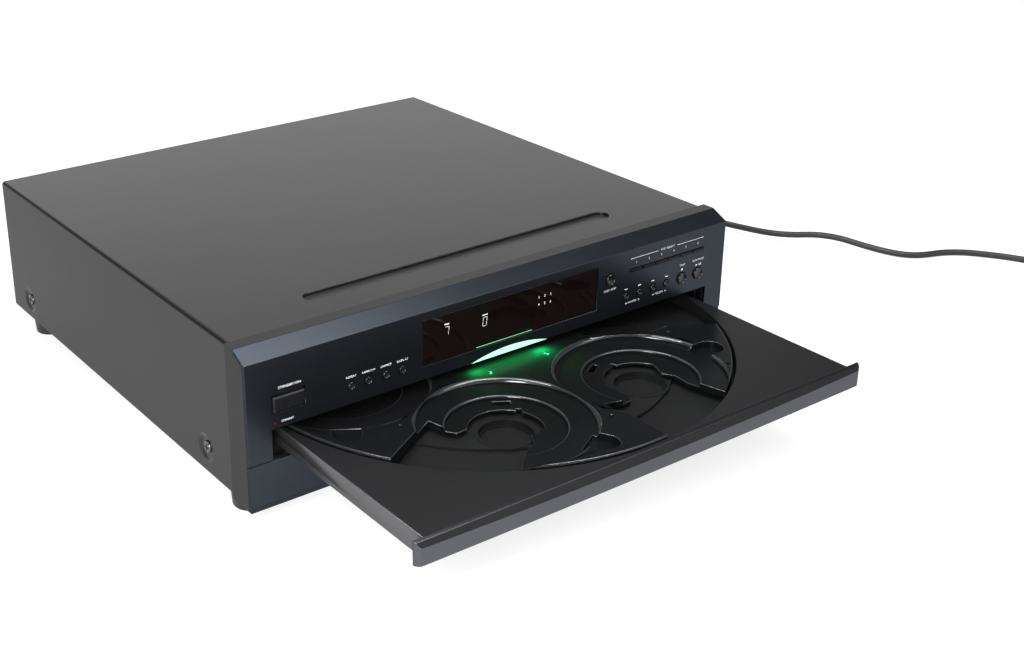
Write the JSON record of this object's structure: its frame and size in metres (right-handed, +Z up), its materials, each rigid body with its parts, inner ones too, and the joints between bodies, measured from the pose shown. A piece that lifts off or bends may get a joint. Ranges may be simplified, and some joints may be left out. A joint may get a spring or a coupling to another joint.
{
  "type": "multi disc cd changer",
  "caption": "Full-width disc changer: steel cabinet, brushed front with window and keys, and an open drawer with a turning table of disc wells.",
  "frame": {"origin": "on the surface the feet stand on, below the middle of the object's box with the drawer open, the mains lead left out", "axes": "+X to the right seen from the front, +Y from the front to the rear, +Z up"},
  "size_m": [0.9889, 0.6831, 0.131],
  "materials": {
    "cover_paint": "satin, dark grey powder coat",
    "fascia_blue": "fine-brushed, dark blue-grey anodised",
    "frame_plastic": "fine-textured dark moulding",
    "window_smoke": "polished smoke",
    "lamp_green": "frosted, lit pale green",
    "lamp_red": "clear red",
    "tube_glass": "dark glass tube",
    "board_green": "solder-masked laminate",
    "zinc_steel": "zinc plated",
    "rear_paint": "satin black",
    "screw_black": "black oxide",
    "rubber_black": "matte",
    "foot_black": "matte moulded foot",
    "tray_black": "fine-textured dark grey",
    "drawer_grey": "satin grey, dark glossy top edge",
    "table_black": "semi-gloss black",
    "nylon_white": "natural acetal",
    "motor_steel": "plated can",
    "mech_black": "glass-filled moulding",
    "button_dark": "satin metallic grey",
    "jack_black": "moulded",
    "jack_nickel": "nickel plated"
  },
  "bodies": {
    "cabinet": {"chassis_base": "zinc_steel", "rear_panel": "rear_paint", "top_cover": "cover_paint", "cover_screws": "screw_black", "feet": "foot_black", "front_panel": "fascia_blue", "chin_panel": "fascia_blue", "panel_frame": "frame_plastic", "display_window": "window_smoke", "lamp_lens": "lamp_green", "standby_lamp": "lamp_red", "display_tube": "tube_glass", "front_board": "board_green", "drawer_rails": "nylon_white", "loading_motor": "motor_steel", "loading_belt": "rubber_black", "lift_guides": "mech_black", "clamp_bridge": "zinc_steel", "transformer": "motor_steel", "main_board": "board_green", "rear_jacks": "jack_nickel", "optical_jack": "jack_black", "cord_gland": "rubber_black", "mains_lead": "rubber_black", "lead_coil": "rubber_black", "mains_plug": "rubber_black"},
    "drawer": {"drawer_front": "drawer_grey", "drawer_tray": "tray_black", "table_motor": "motor_steel", "table_screw": "motor_steel"},
    "disc_table": {"disc_table": "table_black"},
    "table_pinion": {"table_pinion": "nylon_white"},
    "loading_gear": {"loading_gear": "nylon_white"},
    "loading_pulley": {"loading_pulley": "nylon_white"},
    "lift": {"lift_deck": "mech_black", "spindle_motor": "motor_steel", "slide_rods": "zinc_steel"},
    "spindle": {"spindle_platter": "mech_black"},
    "sled": {"pickup_sled": "mech_black"},
    "feed_screw": {"feed_screw": "zinc_steel"},
    "lift_cam": {"lift_cam": "nylon_white"},
    "clamper": {"clamper": "mech_black"},
    "power_button": {"power_button": "button_dark"},
    "mode_button_1": {"mode_button_1": "button_dark"},
    "mode_button_2": {"mode_button_2": "button_dark"},
    "mode_button_3": {"mode_button_3": "button_dark"},
    "mode_button_4": {"mode_button_4": "button_dark"},
    "skip_button": {"skip_button": "button_dark"},
    "track_button_1": {"track_button_1": "button_dark"},
    "track_button_2": {"track_button_2": "button_dark"},
    "track_button_3": {"track_button_3": "button_dark"},
    "track_button_4": {"track_button_4": "button_dark"},
    "stop_button": {"stop_button": "button_dark"},
    "play_button": {"play_button": "button_dark"},
    "disc_key_1": {"disc_key_1": "button_dark"},
    "disc_key_2": {"disc_key_2": "button_dark"},
    "disc_key_3": {"disc_key_3": "button_dark"},
    "disc_key_4": {"disc_key_4": "button_dark"},
    "disc_key_5": {"disc_key_5": "button_dark"},
    "disc_key_6": {"disc_key_6": "button_dark"}
  },
  "joints": [
    {"name": "drawer_slide", "type": "slide", "parent": "cabinet", "child": "drawer", "axis": [0, -1, 0], "range_m": [-0.1576, 0]},
    {"name": "disc_table_turn", "type": "hinge", "parent": "drawer", "child": "disc_table", "pos_m": [0, -0.0978, 0.06], "axis": [0, 0, 1], "continuous": true},
    {"name": "table_pinion_turn", "type": "hinge", "parent": "drawer", "child": "table_pinion", "pos_m": [0.05091, -0.04689, 0.056], "axis": [0, 0, 1], "continuous": true},
    {"name": "loading_gear_turn", "type": "hinge", "parent": "cabinet", "child": "loading_gear", "pos_m": [0.1455, 0.0637, 0.049], "axis": [0, 0, 1], "range_deg": [-503, 1]},
    {"name": "loading_pulley_turn", "type": "hinge", "parent": "cabinet", "child": "loading_pulley", "pos_m": [0.1455, 0.1037, 0.044], "axis": [0, 0, 1], "range_deg": [-1256, 3]},
    {"name": "lift_slide", "type": "slide", "parent": "cabinet", "child": "lift", "axis": [0, 0, 1], "range_m": [0, 0.0201]},
    {"name": "spindle_turn", "type": "hinge", "parent": "lift", "child": "spindle", "pos_m": [-0.0612, 0.1658, 0.05], "axis": [0, 0, 1], "continuous": true},
    {"name": "sled_slide", "type": "slide", "parent": "lift", "child": "sled", "axis": [0, 1, 0], "range_m": [0, 0.031]},
    {"name": "feed_screw_turn", "type": "hinge", "parent": "lift", "child": "feed_screw", "pos_m": [-0.041, 0.2018, 0.0324], "axis": [0, 1, 0], "range_deg": [-1, 3722]},
    {"name": "lift_cam_slide", "type": "slide", "parent": "cabinet", "child": "lift_cam", "axis": [0, 1, 0], "range_m": [0, 0.0301]},
    {"name": "clamper_turn", "type": "hinge", "parent": "cabinet", "child": "clamper", "pos_m": [-0.0612, 0.1658, 0.076], "axis": [0, 0, 1], "continuous": true},
    {"name": "power_button_press", "type": "slide", "parent": "cabinet", "child": "power_button", "axis": [0, 1, 0], "range_m": [0, 0.0008], "stiffness_N_per_m": 800, "springref_m": -0.0005},
    {"name": "mode_button_1_press", "type": "slide", "parent": "cabinet", "child": "mode_button_1", "axis": [0, 1, 0], "range_m": [0, 0.0008], "stiffness_N_per_m": 800, "springref_m": -0.0005},
    {"name": "mode_button_2_press", "type": "slide", "parent": "cabinet", "child": "mode_button_2", "axis": [0, 1, 0], "range_m": [0, 0.0008], "stiffness_N_per_m": 800, "springref_m": -0.0005},
    {"name": "mode_button_3_press", "type": "slide", "parent": "cabinet", "child": "mode_button_3", "axis": [0, 1, 0], "range_m": [0, 0.0008], "stiffness_N_per_m": 800, "springref_m": -0.0005},
    {"name": "mode_button_4_press", "type": "slide", "parent": "cabinet", "child": "mode_button_4", "axis": [0, 1, 0], "range_m": [0, 0.0008], "stiffness_N_per_m": 800, "springref_m": -0.0005},
    {"name": "skip_button_press", "type": "slide", "parent": "cabinet", "child": "skip_button", "axis": [0, 1, 0], "range_m": [0, 0.0008], "stiffness_N_per_m": 800, "springref_m": -0.0005},
    {"name": "track_button_1_press", "type": "slide", "parent": "cabinet", "child": "track_button_1", "axis": [0, 1, 0], "range_m": [0, 0.0008], "stiffness_N_per_m": 800, "springref_m": -0.0005},
    {"name": "track_button_2_press", "type": "slide", "parent": "cabinet", "child": "track_button_2", "axis": [0, 1, 0], "range_m": [0, 0.0008], "stiffness_N_per_m": 800, "springref_m": -0.0005},
    {"name": "track_button_3_press", "type": "slide", "parent": "cabinet", "child": "track_button_3", "axis": [0, 1, 0], "range_m": [0, 0.0008], "stiffness_N_per_m": 800, "springref_m": -0.0005},
    {"name": "track_button_4_press", "type": "slide", "parent": "cabinet", "child": "track_button_4", "axis": [0, 1, 0], "range_m": [0, 0.0008], "stiffness_N_per_m": 800, "springref_m": -0.0005},
    {"name": "stop_button_press", "type": "slide", "parent": "cabinet", "child": "stop_button", "axis": [0, 1, 0], "range_m": [0, 0.0008], "stiffness_N_per_m": 800, "springref_m": -0.0005},
    {"name": "play_button_press", "type": "slide", "parent": "cabinet", "child": "play_button", "axis": [0, 1, 0], "range_m": [0, 0.0008], "stiffness_N_per_m": 800, "springref_m": -0.0005},
    {"name": "disc_key_1_press", "type": "slide", "parent": "cabinet", "child": "disc_key_1", "axis": [0, 1, 0], "range_m": [0, 0.0008], "stiffness_N_per_m": 800, "springref_m": -0.0005},
    {"name": "disc_key_2_press", "type": "slide", "parent": "cabinet", "child": "disc_key_2", "axis": [0, 1, 0], "range_m": [0, 0.0008], "stiffness_N_per_m": 800, "springref_m": -0.0005},
    {"name": "disc_key_3_press", "type": "slide", "parent": "cabinet", "child": "disc_key_3", "axis": [0, 1, 0], "range_m": [0, 0.0008], "stiffness_N_per_m": 800, "springref_m": -0.0005},
    {"name": "disc_key_4_press", "type": "slide", "parent": "cabinet", "child": "disc_key_4", "axis": [0, 1, 0], "range_m": [0, 0.0008], "stiffness_N_per_m": 800, "springref_m": -0.0005},
    {"name": "disc_key_5_press", "type": "slide", "parent": "cabinet", "child": "disc_key_5", "axis": [0, 1, 0], "range_m": [0, 0.0008], "stiffness_N_per_m": 800, "springref_m": -0.0005},
    {"name": "disc_key_6_press", "type": "slide", "parent": "cabinet", "child": "disc_key_6", "axis": [0, 1, 0], "range_m": [0, 0.0008], "stiffness_N_per_m": 800, "springref_m": -0.0005}
  ],
  "couplings": [
    {"joint": "table_pinion_turn", "follows": "disc_table_turn", "ratio": -5},
    {"joint": "loading_gear_turn", "follows": "drawer_slide", "rad_per_m": 55.556},
    {"joint": "loading_pulley_turn", "follows": "drawer_slide", "rad_per_m": 138.89},
    {"joint": "feed_screw_turn", "follows": "sled_slide", "rad_per_m": 2094.4},
    {"joint": "lift_cam_slide", "follows": "lift_slide", "ratio": 1.4925}
  ]
}
